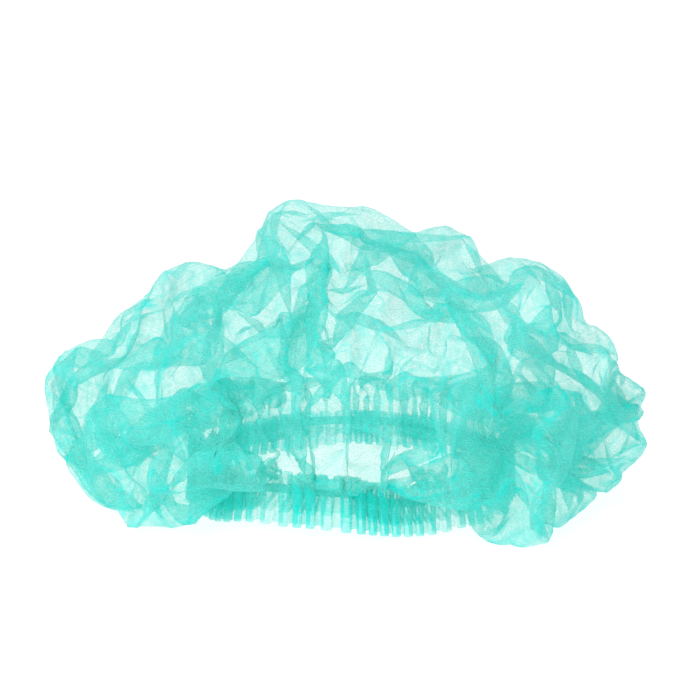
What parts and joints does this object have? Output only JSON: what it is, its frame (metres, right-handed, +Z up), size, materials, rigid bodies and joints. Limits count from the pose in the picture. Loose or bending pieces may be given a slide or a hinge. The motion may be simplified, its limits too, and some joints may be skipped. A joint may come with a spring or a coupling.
{
  "type": "surgical cap",
  "caption": "Disposable bouffant surgical cap of thin translucent non-woven cloth, gathered by an elastic rim, standing on the rim with its crown puffed up and crumpled.",
  "frame": {"origin": "middle of the bounding box at the level of the rim's resting edge", "axes": "+X to the right of the pictured front, -Y towards the viewer, +Z up from the rim to the crown"},
  "size_m": [0.2924, 0.2206, 0.1482],
  "materials": {
    "nonwoven_cloth": "translucent, matte, fine random fibres",
    "elastic": "matte"
  },
  "bodies": {
    "root": {"crown": "nonwoven_cloth", "rim_casing": "nonwoven_cloth", "elastic_band": "elastic"}
  },
  "joints": []
}
